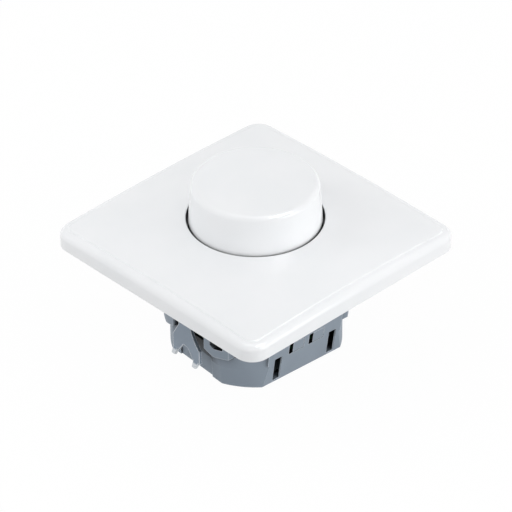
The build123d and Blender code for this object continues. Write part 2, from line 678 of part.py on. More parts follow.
def tooth(width):
    """Pointed tip bent outwards from the foot of a claw leg."""
    middle = -CLAW_FACE + CLAW_THICK / 2
    root = Vector(middle, 0, CLAW_LEG_END + CLAW_THICK / 2)
    lean = Plane(origin=root, x_dir=(0, 1, 0), z_dir=(-TOOTH_DOWN, 0, TOOTH_OUT))
    half = width / 2
    tip = TOOTH_TIP / 2
    corners = [(-half, 0), (half, 0), (tip, TOOTH_LENGTH), (-tip, TOOTH_LENGTH)]
    outline = make_face(Polyline(*corners, close=True))
    return extrude(lean * outline, amount=CLAW_THICK / 2, both=True)


def claw_screw():
    """Slotted pan-head screw that pulls the claw outwards, on the -X side."""
    place = (-CLAW_SCREW_X, 0)
    head_bottom = FRAME_THICK + CLAW_SCREW_SEAT
    screw = rod(CLAW_SCREW_RADIUS, CLAW_SCREW_END, head_bottom, place)
    head = rod(CLAW_SCREW_HEAD_RADIUS, head_bottom, head_bottom + CLAW_SCREW_HEAD, place)
    head = chamfer(head.edges().sort_by(Axis.Z)[-1], CLAW_SCREW_HEAD / 2)
    half = CLAW_SCREW_SLOT / 2
    slot = block((-FAR, 0), (-half, half), (head_bottom + CLAW_SCREW_HEAD / 2, FAR))
    return screw + (head - slot)


def pot_case():
    """Metal can of the potentiometer, under the carrier's roof."""
    can = rod(POT_RADIUS, POT_BOTTOM, -CARRIER_ROOF)
    can -= rod(POT_RADIUS - POT_WALL, POT_BOTTOM + POT_WALL, -CARRIER_ROOF - POT_WALL)
    return can - rod(SHAFT_RADIUS + 0.3, -FAR, FAR)


def resistor_track():
    """Ring of resistance track under the wiper, open where its ends are connected."""
    floor = POT_BOTTOM + POT_WALL
    track = ring(TRACK_OUTER, TRACK_INNER, floor, WIPER_TOP - WIPER_THICK - 0.3)
    return track - block((-TRACK_OPENING / 2, TRACK_OPENING / 2), (-FAR, 0), (-FAR, 0))


def wiper():
    """Wiper disc that the shaft turns and slides through."""
    bottom = WIPER_TOP - WIPER_THICK
    disc = rod(WIPER_RADIUS, bottom, WIPER_TOP)
    disc -= block((-FAR, FAR), (WIPER_HUB / 2, FAR), (-FAR, FAR)) - rod(WIPER_HUB, -FAR, FAR)
    bore = rod(SHAFT_RADIUS + RUNNING_GAP, bottom - 1, WIPER_TOP + 1)
    bore -= block((SHAFT_FLAT + RUNNING_GAP, FAR), (-FAR, FAR), (-FAR, FAR))
    return disc - bore


def pot_pins():
    """Three flat pins from the potentiometer down to the board."""
    pins = []
    half = POT_PIN_WIDTH / 2
    near = -POT_RADIUS - 0.1
    for place in POT_PIN_PLACES:
        across = (place - half, place + half)
        pin = block(across, (near - POT_PIN_THICK, near), (BOARD_TOP, POT_BOTTOM + 2.4))
        pins.append(pin.solid())
    return Compound(pins)


def switch_case():
    """Box of the push switch, under the potentiometer."""
    case = block((-SWITCH_HALF, SWITCH_HALF), (-SWITCH_HALF, SWITCH_HALF), (SWITCH_BOTTOM, POT_BOTTOM))
    floor = SWITCH_BOTTOM + SWITCH_FLOOR
    room = (-SWITCH_INNER, SWITCH_INNER)
    case -= block(room, room, (floor, POT_BOTTOM + 1))
    groove = ring(SPRING_RADIUS + 0.8, SPRING_RADIUS - 0.8, floor - SPRING_GROOVE, floor + 1)
    return case - groove


def switch_slider():
    """Slider that the shaft's end presses, with a peg for its spring."""
    top = SHAFT_BOTTOM - SLIDER_GAP
    peg = rod(PEG_RADIUS, top - SLIDER_THICK - PEG_LENGTH, top - SLIDER_THICK / 2)
    return rod(SLIDER_RADIUS, top - SLIDER_THICK, top) + peg


def slider_spring():
    """Return spring round the slider's peg, standing in the groove of the switch box."""
    top = SHAFT_BOTTOM - SLIDER_GAP - SLIDER_THICK
    bottom = SWITCH_BOTTOM + SWITCH_FLOOR - SPRING_GROOVE
    height = top - bottom - SPRING_WIRE
    coil = Helix(pitch=height / 2, height=height, radius=SPRING_RADIUS)
    path = Pos(0, 0, bottom + SPRING_WIRE / 2) * coil
    start = Plane(origin=path @ 0, x_dir=(1, 0, 0), z_dir=path % 0)
    return sweep(start * Rectangle(SPRING_WIRE, SPRING_WIRE), path=path, is_frenet=True)


def switch_pins():
    """Four pins that hold the push switch on the board."""
    pins = []
    half = SWITCH_PIN / 2
    for side in (-1, 1):
        for other in (-1, 1):
            x, y = side * SWITCH_PIN_PLACE[0], other * SWITCH_PIN_PLACE[1]
            pin = block((x - half, x + half), (y - half, y + half), (BOARD_TOP, SWITCH_BOTTOM))
            pins.append(pin.solid())
    return Compound(pins)


def circuit_board():
    """Board clamped between the carrier and the posts of the rear housing."""
    board = rod(BOARD_RADIUS, BOARD_TOP - BOARD_THICK, BOARD_TOP)
    limits = block((-BOARD_HALF_X, BOARD_HALF_X), (-BOARD_HALF_Y, BOARD_HALF_Y), (-FAR, 0))
    return board & limits


def heat_sink():
    """Bent aluminium plate that cools the triac."""
    upright = block(SINK_X, SINK_Y, (BOARD_TOP, SINK_TOP))
    thick = SINK_Y[1] - SINK_Y[0]
    foot = block((SINK_X[1] - thick, SINK_X[1]), (SINK_Y[1], SINK_FOOT_END), (BOARD_TOP, SINK_FOOT_TOP))
    return upright + foot


def triac():
    """Power switch in a flat plastic case with a metal tab and three legs."""
    case = block(TRIAC_X, (SINK_Y[1], TRIAC_FRONT), (TRIAC_BOTTOM, TRIAC_TOP))
    case += block(TRIAC_X, (SINK_Y[1], TRIAC_TAB_FRONT), (TRIAC_TOP, TRIAC_TAB_TOP))
    x, z = TRIAC_SCREW_PLACE
    for step in (-1, 0, 1):
        middle = x + step * TRIAC_LEG_PITCH
        leg = (middle - TRIAC_LEG / 2, middle + TRIAC_LEG / 2)
        case += block(leg, TRIAC_LEG_Y, (BOARD_TOP, TRIAC_BOTTOM))
    return case - bar_y(TRIAC_SCREW_RADIUS + 0.1, -FAR, 0, x, z)


def triac_screw():
    """Screw that clamps the triac's tab on its heat sink."""
    x, z = TRIAC_SCREW_PLACE
    end = TRIAC_TAB_FRONT + TRIAC_SCREW_HEAD
    shank = bar_y(TRIAC_SCREW_RADIUS, SINK_Y[1], end, x, z)
    return shank + bar_y(TRIAC_SCREW_HEAD, TRIAC_TAB_FRONT, end, x, z)


def choke_core():
    """Ferrite ring of the interference choke, standing on the board."""
    low, high = CHOKE_Y - CHOKE_THICK / 2, CHOKE_Y + CHOKE_THICK / 2
    core = bar_y(CHOKE_OUTER, low, high, CHOKE_X, CHOKE_Z)
    return core - bar_y(CHOKE_INNER, low - 1, high + 1, CHOKE_X, CHOKE_Z)


def choke_winding():
    """Copper turns wound through the choke's ring, side by side round most of it."""
    middle = (CHOKE_OUTER + CHOKE_INNER) / 2
    radial = CHOKE_OUTER - CHOKE_INNER
    turns = []
    around = 2 * WINDING_THICK
    turn = Box(radial + around, CHOKE_THICK + around, WINDING_WIDTH)
    turn -= Box(radial + 0.1, CHOKE_THICK + 0.1, 2 * WINDING_WIDTH)
    for step in range(CHOKE_TURNS):
        angle = CHOKE_START + step * CHOKE_PITCH
        spot = Pos(CHOKE_X, CHOKE_Y, CHOKE_Z) * Rot(0, -angle, 0) * Pos(middle, 0, 0)
        turns.append((spot * turn).solid())
    return Compound(turns)


def film_capacitor():
    """Boxed film capacitor."""
    across, along, top = FILM_BOX
    box = block(across, along, (BOARD_TOP, top))
    return fillet(box.edges().filter_by(Axis.Z), 0.8)


def timing_capacitor():
    """Small boxed capacitor of the firing circuit."""
    across, along, top = TIMING_BOX
    box = block(across, along, (BOARD_TOP, top))
    return fillet(box.edges().filter_by(Axis.Z), 0.5)


def resistors():
    """Two axial resistors on the board, with bent legs."""
    made = []
    z = BOARD_TOP + LEAD_HEIGHT
    half = RESISTOR_LEAD / 2
    reach = RESISTOR_REACH
    for y in RESISTOR_PLACES:
        across = (y - half, y + half)
        body = bar_x(RESISTOR_RADIUS, -RESISTOR_HALF, RESISTOR_HALF, y, z)
        body += block((-reach, reach), across, (z - half, z + half))
        for end in (-reach, reach - RESISTOR_LEAD):
            body += block((end, end + RESISTOR_LEAD), across, (BOARD_TOP, z))
        made.append(body.solid())
    return Compound(made)


def diac():
    """Small glass trigger diode on the board."""
    z = BOARD_TOP + LEAD_HEIGHT
    half = DIAC_LEAD / 2
    across = (DIAC_X - half, DIAC_X + half)
    body = bar_y(DIAC_RADIUS, *DIAC_BODY, DIAC_X, z)
    body += block(across, DIAC_REACH, (z - half, z + half))
    for end in (DIAC_REACH[0], DIAC_REACH[1] - DIAC_LEAD):
        body += block(across, (end, end + DIAC_LEAD), (BOARD_TOP, z))
    return body


def fuse_tube():
    """Glass tube of the fine-wire fuse."""
    return bar_x(FUSE_TUBE_RADIUS, FUSE_LEFT + 0.4, FUSE_RIGHT - 0.4, FUSE_Y, FUSE_Z)


def fuse_caps():
    """Metal end caps of the fuse."""
    lefts = (FUSE_LEFT, FUSE_RIGHT - FUSE_CAP)
    caps = [bar_x(FUSE_CAP_RADIUS, x, x + FUSE_CAP, FUSE_Y, FUSE_Z) for x in lefts]
    inner = bar_x(FUSE_TUBE_RADIUS + 0.02, FUSE_LEFT + 0.4, FUSE_RIGHT - 0.4, FUSE_Y, FUSE_Z)
    return Compound([(cap - inner).solid() for cap in caps])


def fuse_clips():
    """Spring clips that hold the fuse on the board."""
    clips = []
    inset = (FUSE_CAP - FUSE_CLIP_WIDTH) / 2
    outer = FUSE_CLIP_GAP + FUSE_CLIP_THICK
    heights = (BOARD_TOP, FUSE_Z + FUSE_TUBE_RADIUS)
    for x in (FUSE_LEFT + inset, FUSE_RIGHT - FUSE_CAP + inset):
        across = (x, x + FUSE_CLIP_WIDTH)
        clip = block(across, (FUSE_Y - outer, FUSE_Y + outer), heights)
        inner = (FUSE_Y - FUSE_CLIP_GAP, FUSE_Y + FUSE_CLIP_GAP)
        clip -= block(across, inner, (BOARD_TOP + FUSE_CLIP_THICK, FAR))
        clips.append(clip.solid())
    return Compound(clips)


def terminals():
    """Brass terminal blocks between the board and the housing's floor."""
    made = []
    floor = HOUSING_BOTTOM + HOUSING_WALL
    under = BOARD_TOP - BOARD_THICK
    for place in TERMINAL_PLACES:
        cage = block((place - TERMINAL_HALF, place + TERMINAL_HALF), TERMINAL_Y, (floor, under))
        cage -= rod(WIRE_HOLE, floor - 1, under - TERMINAL_ROOF, (place, WIRE_Y))
        cage -= bar_y(TERMINAL_SCREW_RADIUS + THREAD_GAP, WIRE_Y, FAR, place, TERMINAL_SCREW_Z)
        made.append(cage.solid())
    return Compound(made)


def terminal_screws():
    """Clamping screws of the terminals, reached through the +Y wall."""
    made = []
    for place in TERMINAL_PLACES:
        start = WIRE_Y + WIRE_HOLE + TERMINAL_SCREW_TIP
        screw = bar_y(TERMINAL_SCREW_RADIUS, start, TERMINAL_HEAD[0] + 0.1, place, TERMINAL_SCREW_Z)
        head = bar_y(TERMINAL_HEAD_RADIUS, *TERMINAL_HEAD, place, TERMINAL_SCREW_Z)
        half = TERMINAL_SLOT_WIDTH / 2
        heights = (TERMINAL_SCREW_Z - half, TERMINAL_SCREW_Z + half)
        head -= block((-FAR, FAR), (TERMINAL_HEAD[1] - TERMINAL_SLOT_DEPTH, FAR), heights)
        made.append((screw + head).solid())
    return Compound(made)


def all_parts():
    """Every piece of the dimmer by its name."""
    nut_top = WELL_FLOOR + WELL_FLOOR_THICK
    parts = {
        "cover_plate": cover_plate(),
        "knob": knob(),
        "knob_clip": knob_clip(),
        "control_shaft": control_shaft(),
        "cover_nut": thin_nut(nut_top, NUT_THICK),
        "washer": washer(),
        "lock_nut": thin_nut(0, WELL_FLOOR - WASHER_THICK),
        "bushing": bushing(),
        "support_frame": support_frame(),
        "frame_rivets": frame_rivets(),
        "carrier": carrier(),
        "rear_housing": rear_housing(),
        "left_claw": claw(),
        "right_claw": half_turn(claw()),
        "left_claw_screw": claw_screw(),
        "right_claw_screw": half_turn(claw_screw()),
        "pot_case": pot_case(),
        "resistor_track": resistor_track(),
        "wiper": wiper(),
        "pot_pins": pot_pins(),
        "switch_case": switch_case(),
        "switch_slider": switch_slider(),
        "slider_spring": slider_spring(),
        "switch_pins": switch_pins(),
        "circuit_board": circuit_board(),
        "heat_sink": heat_sink(),
        "triac": triac(),
        "triac_screw": triac_screw(),
        "choke_core": choke_core(),
        "choke_winding": choke_winding(),
        "film_capacitor": film_capacitor(),
        "timing_capacitor": timing_capacitor(),
        "resistors": resistors(),
        "diac": diac(),
        "fuse_tube": fuse_tube(),
        "fuse_caps": fuse_caps(),
        "fuse_clips": fuse_clips(),
        "terminals": terminals(),
        "terminal_screws": terminal_screws(),
    }
    square = ("cover_plate", "support_frame")
    return {name: shape if name in square else turned(shape) for name, shape in parts.items()}


os.makedirs("parts", exist_ok=True)
for name, shape in all_parts().items():
    export_step(shape, f"parts/{name}.step")
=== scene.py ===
import json
import math

import bpy
from mathutils import Matrix, Vector


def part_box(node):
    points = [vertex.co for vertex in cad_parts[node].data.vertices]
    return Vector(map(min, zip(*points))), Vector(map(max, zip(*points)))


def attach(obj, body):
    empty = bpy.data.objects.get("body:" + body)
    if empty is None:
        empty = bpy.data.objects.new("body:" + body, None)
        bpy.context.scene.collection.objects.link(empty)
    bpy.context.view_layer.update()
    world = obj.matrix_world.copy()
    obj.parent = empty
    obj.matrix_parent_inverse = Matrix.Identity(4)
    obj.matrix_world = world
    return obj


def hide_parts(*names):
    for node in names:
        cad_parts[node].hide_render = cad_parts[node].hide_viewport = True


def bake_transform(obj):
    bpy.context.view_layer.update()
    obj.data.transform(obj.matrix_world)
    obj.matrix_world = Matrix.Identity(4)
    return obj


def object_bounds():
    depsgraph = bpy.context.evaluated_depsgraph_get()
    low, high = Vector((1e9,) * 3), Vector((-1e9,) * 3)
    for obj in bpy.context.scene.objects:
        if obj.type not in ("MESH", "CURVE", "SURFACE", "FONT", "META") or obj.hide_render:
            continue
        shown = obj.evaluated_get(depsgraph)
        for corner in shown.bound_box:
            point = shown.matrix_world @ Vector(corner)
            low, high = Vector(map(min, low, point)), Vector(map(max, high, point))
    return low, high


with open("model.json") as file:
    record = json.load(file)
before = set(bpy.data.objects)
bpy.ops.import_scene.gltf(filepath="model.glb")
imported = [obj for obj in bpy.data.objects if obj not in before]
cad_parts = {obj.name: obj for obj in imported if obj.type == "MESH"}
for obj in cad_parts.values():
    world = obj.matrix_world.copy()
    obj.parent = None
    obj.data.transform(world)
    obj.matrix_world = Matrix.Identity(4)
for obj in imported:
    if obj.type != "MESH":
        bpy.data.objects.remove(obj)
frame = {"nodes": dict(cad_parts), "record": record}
cad_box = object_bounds()

MM = 0.001

# Cover plate, in millimetres
PLATE_HALF = 41.0
PLATE_CORNER = 5.6
LEAST_CORNER = 0.8
EDGE_ROUND = 1.8
FOOT_ROUND = 0.12
CROWN_BASE = 5.09
CROWN_RISE = 6.0
CROWN_REACH = 44.0
PANEL_STEP = 0.3
PANEL_INSET = 2.45
PANEL_BEVEL = 0.35
PLATE_WALL = 2.2
WALL_HEIGHT = 3.0
SHOULDER = 0.6
WELL_RADIUS = 19.75
WELL_RIM = 0.45
WELL_FLOOR = 5.0
WELL_UNDER = 3.0
WELL_OUTER = 21.65
NUT_HOLE = 5.2
RIB_HALF = 0.7
RIB_BOTTOM = 4.4
RIB_ROOT = 0.4
RIB_END = 1.2

# Knob, in millimetres
KNOB_BOTTOM = 6.4
KNOB_TOP = 21.8
KNOB_BASE_RADIUS = 19.3
KNOB_TOP_RADIUS = 18.3
KNOB_ROUND = 1.7
KNOB_WALL = 1.8
KNOB_FOOT = 0.2
HUB_RADIUS = 5.2
HUB_BORE = 3.05
HUB_BEVEL = 0.3
HUB_BOTTOM = 10.6
HUB_CEILING = 19.4

# Claw screws, in degrees and millimetres; the ridge's half widths are parts of the pitch
INSERT_TURN = -4.0
SCREW_PLACE = 23.5
THREAD_PITCH = 0.6
THREAD_ROOT = 1.55
THREAD_CREST = 1.78
ROOT_WIDTH = 0.48
CREST_WIDTH = 0.07
THREAD_BOTTOM = -15.8
THREAD_TOP = -2.6

# Return spring of the push switch, in millimetres
SPRING_RADIUS = 3.2
SPRING_WIRE = 0.6
SPRING_TURNS = 2

# Widths of softened CAD edges in millimetres, and the least angle of such an edge in degrees
BODY_EDGE = 0.15
SMALL_EDGE = 0.1
EDGE_ANGLE = 40.0

# Steps along curves
SIDE_STEPS = 40
CORNER_STEPS = 12
LIP_STEPS = 6
PANEL_STEPS = 28
BEVEL_STEPS = 8
EDGE_STEPS = 14
UNDER_STEPS = 8
KNOB_STEPS = 192
KNOB_SIDE_STEPS = 6
KNOB_EDGE_STEPS = 16
KNOB_TOP_SHARES = (0.75, 0.5, 0.25, 0.02)
THREAD_STEPS = 32
SPRING_STEPS = 48
WIRE_STEPS = 10

# Camera, found from the plate's outline: degrees, millimetres and pixels of a 512 frame
VIEW_AZIMUTH = -43.736
VIEW_ELEVATION = 35.634
VIEW_ROLL = 0.4456
VIEW_DISTANCE = 1077.1
VIEW_FOCAL = 3781.0
VIEW_END = 10000.0
FRAME_PIXELS = 512.0
ORIGIN_PIXEL = (255.67, 244.39)
SENSOR_WIDTH = 36.0

# Light levels, where 1 shows a colour as written; the floor's size and gap are in millimetres
WORLD_LOW = 1.03
WORLD_HIGH = 0.72
FLOOR_WHITE = 0.94
FLOOR_SHADE = 0.5
FLOOR_GLOW = 1.03
FLOOR_GAP = 0.05
FLOOR_HALF = 2500.0

# Finish of each slot: darker and lighter shade, range of roughness, grain per metre,
# depth of its relief in metres, share of metal, stretch of its grain
FINISHES = {
    "white_plastic": ((0.83, 0.845, 0.86), (0.85, 0.86, 0.875), (0.12, 0.17), 900, 1e-6),
    "grey_plastic": ((0.245, 0.291, 0.346), (0.272, 0.322, 0.38), (0.48, 0.6), 5000, 2e-5),
    "zinc_steel": ((0.2, 0.243, 0.297), (0.23, 0.278, 0.337), (0.34, 0.46), 1500, 8e-6, 0.55),
    "spring_steel": ((0.4, 0.41, 0.43), (0.48, 0.49, 0.51), (0.25, 0.4), 2500, 4e-6, 1.0),
    "nickel": ((0.6, 0.58, 0.54), (0.68, 0.66, 0.62), (0.15, 0.28), 2500, 3e-6, 1.0),
    "brass": ((0.68, 0.5, 0.2), (0.78, 0.6, 0.27), (0.25, 0.4), 2500, 4e-6, 1.0),
    "black_plastic": ((0.02, 0.02, 0.022), (0.035, 0.035, 0.04), (0.4, 0.55), 5000, 1e-5),
    "board": ((0.03, 0.15, 0.06), (0.05, 0.2, 0.08), (0.3, 0.45), 2000, 8e-6),
    "ferrite": ((0.05, 0.05, 0.055), (0.09, 0.09, 0.095), (0.5, 0.7), 3000, 2e-5),
    "copper": ((0.6, 0.25, 0.1), (0.74, 0.34, 0.16), (0.2, 0.3), 2500, 4e-6, 1.0),
    "aluminium": (
        (0.7, 0.71, 0.73), (0.78, 0.79, 0.81), (0.3, 0.45), 1500, 6e-6, 1.0, (0.1, 1, 1)
    ),
    "film_case": ((0.66, 0.44, 0.08), (0.74, 0.52, 0.12), (0.25, 0.35), 2500, 5e-6),
    "resistor_body": ((0.55, 0.44, 0.3), (0.66, 0.54, 0.4), (0.35, 0.5), 2500, 8e-6),
    "track_plastic": ((0.2, 0.14, 0.08), (0.3, 0.22, 0.14), (0.45, 0.6), 2500, 8e-6),
}
SHADE_DRIFT = 60.0
SHADE_BAND = (0.35, 0.65)
RELIEF_STRENGTH = 0.5

# Clear glass: shades, range of roughness, waves per metre
GLASS_SHADES = ((0.9, 0.93, 0.94), (0.95, 0.97, 0.98))
GLASS_ROUGHNESS = (0.02, 0.06)
GLASS_WAVES = 300
GLASS_CLEAR = 0.9
GLASS_IOR = 1.5

# Painted edge highlights, on zinc partly also its bare cut edges: reach in millimetres, cosines at
# which they start and are full, colours
EDGE_SHINE = 0.45
EDGE_BAND = (0.985, 0.9)
EDGE_SAMPLES = 8
ZINC_EDGE_BARE_AND_HIGHLIGHT = (0.66, 0.69, 0.72)
GREY_EDGE_HIGHLIGHT = (0.5, 0.55, 0.61)

# Claw teeth painted brighter, a painted highlight of their lit tops: height of their root and the
# fade below it in millimetres, colour
TOOTH_ROOT = -26.3
HEIGHT_FADE = 0.4
ZINC_TOOTH_HIGHLIGHT = (0.62, 0.65, 0.68)

# Painted shade in holes and round the knob, and a painted shadow behind the claws: reach in
# millimetres, open shares at which they are full and start, height below which the claws shade
# nothing, colours of the painted shade
HOLE_REACH = 8.0
HOLE_BAND = (0.42, 0.76)
CLAW_REACH = 6.5
CLAW_BAND = (0.58, 0.98)
CLAW_FOOT = -26.2
WELL_REACH = 2.5
WELL_BAND = (0.08, 0.42)
GAP_SAMPLES = 12
GREY_GAP_SHADE = (0.006, 0.007, 0.008)
WHITE_GAP_SHADE = (0.03, 0.033, 0.036)


def link(obj):
    """Puts a new object into the scene."""
    bpy.context.scene.collection.objects.link(obj)
    return obj


def mesh_piece(name, points, faces, sharp_degrees=35.0):
    """New mesh object from points in millimetres, smooth except at sharp edges."""
    mesh = bpy.data.meshes.new(name)
    mesh.from_pydata([Vector(p) * MM for p in points], [], faces)
    mesh.validate()
    mesh.shade_smooth()
    mesh.set_sharp_from_angle(angle=math.radians(sharp_degrees))
    return link(bpy.data.objects.new(name, mesh))


def ring_faces(rings, count, closed=False):
    """Quads between rings of count points; a closed loop joins its ends, an open one caps them."""
    faces = []
    last = rings - 1
    for ring in range(rings if closed else last):
        here = ring * count
        there = ((ring + 1) % rings) * count
        for step in range(count):
            after = (step + 1) % count
            faces.append((here + step, here + after, there + after, there + step))
    if not closed:
        faces.append(tuple(reversed(range(count))))
        faces.append(tuple(range(last * count, rings * count)))
    return faces


# Cover plate

def rounded_square(inset):
    """Points round the plate's outline, stepped in, always the same number of them."""
    half = PLATE_HALF - inset
    radius = max(PLATE_CORNER - inset, LEAST_CORNER)
    flat = half - radius
    points = []
    for quarter in range(4):
        turn = Matrix.Rotation(math.radians(90 * quarter), 2)
        side = [(half, flat * (2 * step / SIDE_STEPS - 1)) for step in range(SIDE_STEPS)]
        bend = [math.radians(90 * step / CORNER_STEPS) for step in range(CORNER_STEPS)]
        corner = [(flat + radius * math.cos(a), flat + radius * math.sin(a)) for a in bend]
        points += [turn @ Vector(p) for p in side + corner]
    return points


def crown(x, y):
    """Height of the plate's crowned panel."""
    return CROWN_BASE + CROWN_RISE * (1 - (x / CROWN_REACH) ** 2) * (1 - (y / CROWN_REACH) ** 2)


def step_drop(inset):
    """How far the plate lies under the crown at an inset: the panel's small step to the rim."""
    share = min(max((inset - PANEL_INSET) / PANEL_BEVEL, 0), 1)
    return PANEL_STEP * (1 - share * share * (3 - 2 * share))


def circle_like(outline, radius):
    """Points of a circle in the same directions as the points of an outline."""
    return [p.normalized() * radius for p in outline]


def between(inner, outer, share):
    """Points part of the way from one outline to another."""
    return [a.lerp(b, share) for a, b in zip(inner, outer)]


def falling(step, steps):
    """Angle that goes from upright to level in a number of steps."""
    return math.radians(90 - 90 * step / steps)


def plate_rings():
    """Closed loop of rings: well, rim, top, rounded edge, side, foot, inside and well again."""
    outline = rounded_square(0)
    top_inset = PANEL_INSET + PANEL_BEVEL
    top_edge = rounded_square(top_inset)
    rings = []

    def level(points, height):
        rings.append([(p.x, p.y, height) for p in points])

    def on_crown(points, drop):
        rings.append([(p.x, p.y, crown(p.x, p.y) - drop) for p in points])

    level(circle_like(outline, NUT_HOLE), WELL_UNDER)
    level(circle_like(outline, NUT_HOLE), WELL_FLOOR)
    level(circle_like(outline, WELL_RADIUS), WELL_FLOOR)
    for step in range(LIP_STEPS + 1):
        angle = falling(step, LIP_STEPS)
        lip = circle_like(outline, WELL_RADIUS + WELL_RIM * (1 - math.sin(angle)))
        on_crown(lip, WELL_RIM * (1 - math.cos(angle)))
    lip = circle_like(outline, WELL_RADIUS + WELL_RIM)
    for step in range(1, PANEL_STEPS + 1):
        on_crown(between(lip, top_edge, step / PANEL_STEPS), 0)
    for step in range(1, BEVEL_STEPS + 1):
        inset = top_inset - PANEL_BEVEL * step / BEVEL_STEPS
        on_crown(rounded_square(inset), step_drop(inset))
    for step in range(EDGE_STEPS + 1):
        angle = falling(step, EDGE_STEPS)
        inset = EDGE_ROUND * (1 - math.cos(angle))
        on_crown(rounded_square(inset), PANEL_STEP + EDGE_ROUND * (1 - math.sin(angle)))
    level(outline, FOOT_ROUND)
    level(rounded_square(FOOT_ROUND), 0)
    inside = rounded_square(PLATE_WALL)
    level(inside, 0)
    level(inside, WALL_HEIGHT)
    shoulder = rounded_square(PLATE_WALL + SHOULDER)
    on_crown(shoulder, PLATE_WALL)
    well = circle_like(outline, WELL_OUTER)
    for step in range(1, UNDER_STEPS + 1):
        on_crown(between(shoulder, well, step / UNDER_STEPS), PLATE_WALL)
    level(well, WELL_UNDER)
    return rings


def plate_ribs(base):
    """Four ribs under the plate, from the well to the corners, as points and faces."""
    box_faces = (
        (0, 1, 3, 2), (4, 6, 7, 5), (0, 4, 5, 1), (2, 3, 7, 6), (0, 2, 6, 4), (1, 5, 7, 3)
    )
    corner = (PLATE_HALF - PLATE_WALL - SHOULDER) * math.sqrt(2)
    points, faces = [], []
    for quarter in range(4):
        turn = Matrix.Rotation(math.radians(45 + 90 * quarter), 2)
        start = base + len(points)
        for out in (WELL_OUTER - RIB_ROOT, corner - RIB_END):
            for across in (-RIB_HALF, RIB_HALF):
                spot = turn @ Vector((out, across))
                points.append((spot.x, spot.y, RIB_BOTTOM))
                points.append((spot.x, spot.y, crown(spot.x, spot.y) - PLATE_WALL / 2))
        for face in box_faces:
            faces.append(tuple(start + index for index in face))
    return points, faces


def make_plate():
    """White cover plate, standing for the CAD node."""
    rings = plate_rings()
    points = [p for ring in reversed(rings) for p in ring]
    faces = ring_faces(len(rings), len(rings[0]), closed=True)
    rib_points, rib_faces = plate_ribs(len(points))
    plate = mesh_piece("plate_shell", points + rib_points, faces + rib_faces)
    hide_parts("cover_plate")
    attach(plate, "insert")
    return plate


# Knob

def knob_profile():
    """Radius and height round the knob's section, from the bore down, under, up and over."""
    lean = (KNOB_BASE_RADIUS - KNOB_TOP_RADIUS) / (KNOB_TOP - KNOB_BOTTOM)
    slope = math.atan(lean)
    centre_r = KNOB_TOP_RADIUS + lean * KNOB_ROUND - KNOB_ROUND / math.cos(slope)
    centre_z = KNOB_TOP - KNOB_ROUND
    ceiling = KNOB_TOP - KNOB_WALL
    profile = [
        (HUB_BORE, HUB_CEILING),
        (HUB_BORE, HUB_BOTTOM + HUB_BEVEL),
        (HUB_BORE + HUB_BEVEL, HUB_BOTTOM),
        (HUB_RADIUS, HUB_BOTTOM),
        (HUB_RADIUS, ceiling),
        (KNOB_TOP_RADIUS - KNOB_WALL, ceiling),
        (KNOB_BASE_RADIUS - KNOB_WALL, KNOB_BOTTOM),
        (KNOB_BASE_RADIUS - KNOB_FOOT, KNOB_BOTTOM),
        (KNOB_BASE_RADIUS, KNOB_BOTTOM + KNOB_FOOT),
    ]
    for step in range(1, KNOB_SIDE_STEPS):
        rise = (centre_z - KNOB_BOTTOM) * step / KNOB_SIDE_STEPS
        profile.append((KNOB_BASE_RADIUS - lean * rise, KNOB_BOTTOM + rise))
    for step in range(KNOB_EDGE_STEPS + 1):
        angle = slope + (math.pi / 2 - slope) * step / KNOB_EDGE_STEPS
        out, up = KNOB_ROUND * math.cos(angle), KNOB_ROUND * math.sin(angle)
        profile.append((centre_r + out, centre_z + up))
    profile += [(centre_r * share, KNOB_TOP) for share in KNOB_TOP_SHARES]
    return profile


def make_knob():
    """Plain white turning knob, standing for the CAD node."""
    profile = knob_profile()
    points = []
    for radius, z in profile:
        for step in range(KNOB_STEPS):
            angle = 2 * math.pi * step / KNOB_STEPS
            points.append((radius * math.cos(angle), radius * math.sin(angle), z))
    knob = mesh_piece("knob_shell", points, ring_faces(len(profile), KNOB_STEPS))
    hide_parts("knob")
    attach(knob, "control")
    return knob


# Claw screw threads

def make_thread(side, body):
    """Helical ridge on a claw screw, added to its plain CAD shank."""
    place = Matrix.Rotation(math.radians(INSERT_TURN), 2) @ Vector((side * SCREW_PLACE, 0))
    section = (
        (THREAD_ROOT, ROOT_WIDTH),
        (THREAD_CREST, CREST_WIDTH),
        (THREAD_CREST, -CREST_WIDTH),
        (THREAD_ROOT, -ROOT_WIDTH),
    )
    count = int((THREAD_TOP - THREAD_BOTTOM) / THREAD_PITCH * THREAD_STEPS)
    points = []
    for step in range(count + 1):
        angle = 2 * math.pi * step / THREAD_STEPS
        rise = THREAD_BOTTOM + THREAD_PITCH * step / THREAD_STEPS
        fade = min(step, count - step, THREAD_STEPS) / THREAD_STEPS
        for radius, part in section:
            out = THREAD_ROOT + (radius - THREAD_ROOT) * fade
            x = place.x + out * math.cos(angle)
            y = place.y + out * math.sin(angle)
            points.append((x, y, rise + part * THREAD_PITCH))
    faces = ring_faces(count + 1, len(section))
    thread = mesh_piece(body + "_thread", points, faces, sharp_degrees=20.0)
    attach(thread, body)
    return thread


# Return spring

def make_spring():
    """Round-wire spring, standing for the CAD node, filling the height of its CAD box."""
    low, high = [corner[2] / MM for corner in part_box("slider_spring")]
    half = SPRING_WIRE / 2
    count = SPRING_TURNS * SPRING_STEPS
    points = []
    for step in range(count + 1):
        angle = 2 * math.pi * step / SPRING_STEPS
        rise = low + half + (high - low - SPRING_WIRE) * step / count
        for part in range(WIRE_STEPS):
            round_wire = -2 * math.pi * part / WIRE_STEPS
            out = SPRING_RADIUS + half * math.cos(round_wire)
            z = rise + half * math.sin(round_wire)
            points.append((out * math.cos(angle), out * math.sin(angle), z))
    faces = ring_faces(count + 1, WIRE_STEPS)
    spring = mesh_piece("return_spring", points, faces, sharp_degrees=60.0)
    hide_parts("slider_spring")
    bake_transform(spring)
    return spring


# Materials

